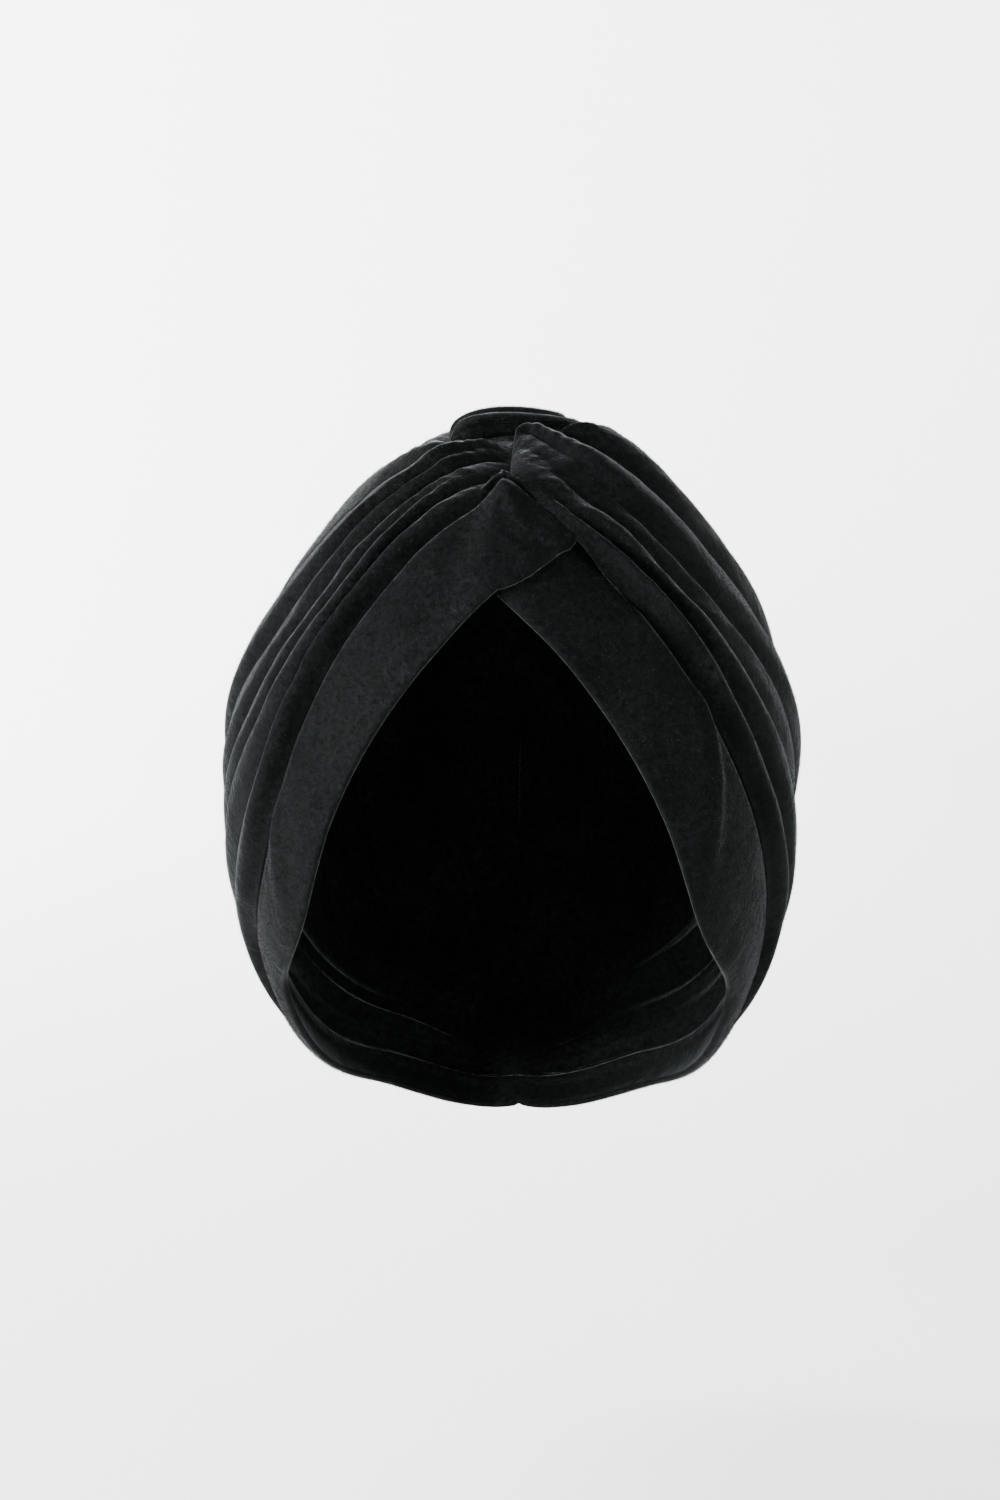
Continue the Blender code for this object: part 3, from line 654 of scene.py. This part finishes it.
def addPile(piece, node, tree, ids, look):
    net = outerNets[piece.name]
    mesh = bpy.data.meshes.new("pile_base")
    mesh.from_pydata([tuple(p) for p in net.reshape(-1, 3)], [], netFaces(*net.shape[:2]).tolist())
    middle = Vector((0, 0, -hollow["rise"]))
    if sum(face.area * face.normal.dot(face.center - middle) for face in mesh.polygons) < 0:
        mesh.flip_normals()
    base = inScene("pile_base", mesh)
    grow = base.modifiers.new("pile", "NODES")
    grow.node_group = tree
    values = {"Density": float(look["perSquareMetre"][node]), "Length": look["length"],
              "Width": look["width"], "Tilt": look["tilt"], "Seed": look["seed"],
              "Material": piece.data.materials[0]}
    for label, value in values.items():
        grow[ids[label]] = value
    grown = base.evaluated_get(bpy.context.evaluated_depsgraph_get())
    hairs = inScene(piece.name.replace("_cloth", "_pile"), bpy.data.meshes.new_from_object(grown))
    bpy.data.objects.remove(base)
    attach(hairs, "root")
    print(node, "has a pile of", len(hairs.data.polygons), "faces")


tree, ids = pileTree(pileLook)
for piece, node in ((leftBand, "left_band"), (rightBand, "right_band"), (leftPleats, "left_pleats"),
                    (rightPleats, "right_pleats"), (crownRoll, "crown_roll")):
    addPile(piece, node, tree, ids, pileLook)

# Stage: a pale paper bowl, whose floor turns up into a round wall behind every side
stageLook = {
    "floor": -0.30, "flat": (0.4, 1.0), "radius": 2.2, "bend": 0.6, "bendSteps": 12,
    "wall": (1.2, 2.2), "turns": 72, "paper": 0.72, "paperRough": 0.8,
    "sky": (0.95, 0.97, 1.0), "skyStrength": 0.75,
    "lights": [  # name, power, size, spot, target
        ("key", 190, 0.9, (-1.3, -0.75, 0.12), (0, 0, -0.1)),
        ("fill", 58, 1.2, (1.3, -0.6, -0.05), (0, 0, -0.12)),
        ("rim", 3, 0.8, (-0.7, 0.45, 0.9), (0, 0, -0.05)),
        ("back", 190, 0.9, (-1.2, 0.9, 1.1), (-0.9, 2.0, 0.1)),  # lights the wall more on the left
    ],
}


def paperBowl(look):
    radius, bend, turns = look["radius"], look["bend"], look["turns"]
    profile = [(flat, 0.0) for flat in look["flat"]]
    for a in np.linspace(0, np.pi / 2, look["bendSteps"]):
        profile.append((radius - bend + bend * np.sin(a), bend - bend * np.cos(a)))
    profile += [(radius, high) for high in look["wall"]]
    points = [(0.0, 0.0, look["floor"])]
    points += [(r * np.cos(t), r * np.sin(t), look["floor"] + z) for r, z in profile
               for t in np.linspace(0, 2 * np.pi, turns, endpoint=False)]
    faces = [(0, 1 + k, 1 + (k + 1) % turns) for k in range(turns)]
    for i in range(len(profile) - 1):
        for k in range(turns):
            low, nextLow = 1 + i * turns + k, 1 + i * turns + (k + 1) % turns
            faces.append((low, low + turns, nextLow + turns, nextLow))
    mesh = bpy.data.meshes.new("floor")
    mesh.from_pydata(points, [], faces)
    mesh.polygons.foreach_set("use_smooth", [True] * len(mesh.polygons))
    paper = bpy.data.materials.new("pale_paper")
    paper.use_nodes = True
    shader = paper.node_tree.nodes["Principled BSDF"]
    shader.inputs["Base Color"].default_value = (look["paper"],) * 3 + (1,)
    shader.inputs["Roughness"].default_value = look["paperRough"]
    mesh.materials.append(paper)
    return inScene("floor", mesh)


paperBowl(stageLook)

world = bpy.data.worlds.new("studio")
bpy.context.scene.world = world
world.use_nodes = True
sky = world.node_tree.nodes["Background"]
sky.inputs["Color"].default_value = (*stageLook["sky"], 1)
sky.inputs["Strength"].default_value = stageLook["skyStrength"]

for name, power, size, spot, target in stageLook["lights"]:
    data = bpy.data.lights.new(name, "AREA")
    data.energy, data.size = power, size
    lamp = inScene(name, data)
    lamp.location = spot
    lamp.rotation_euler = (Vector(target) - Vector(spot)).to_track_quat("-Z", "Y").to_euler()

# Camera at the photo's angle. Degrees, metres, and millimetres for the lens.
cameraLook = {"turn": -3, "tip": 7.5, "away": 0.95, "aimX": -0.0035, "aimUp": 0.012,
              "lens": 75.24, "sensor": 36}
data = bpy.data.cameras.new("camera")
data.sensor_fit, data.sensor_height, data.lens = "VERTICAL", cameraLook["sensor"], cameraLook["lens"]
camera = inScene("camera", data)
turn, tip = radians(cameraLook["turn"]), radians(cameraLook["tip"])
sight = Vector((np.sin(turn) * np.cos(tip), np.cos(turn) * np.cos(tip), -np.sin(tip)))
aim = Vector((cameraLook["aimX"], 0, cameraLook["aimUp"] - hollow["rise"]))
camera.location = aim - cameraLook["away"] * sight
camera.rotation_euler = sight.to_track_quat("-Z", "Y").to_euler()
bpy.context.scene.camera = camera
print("stage made")
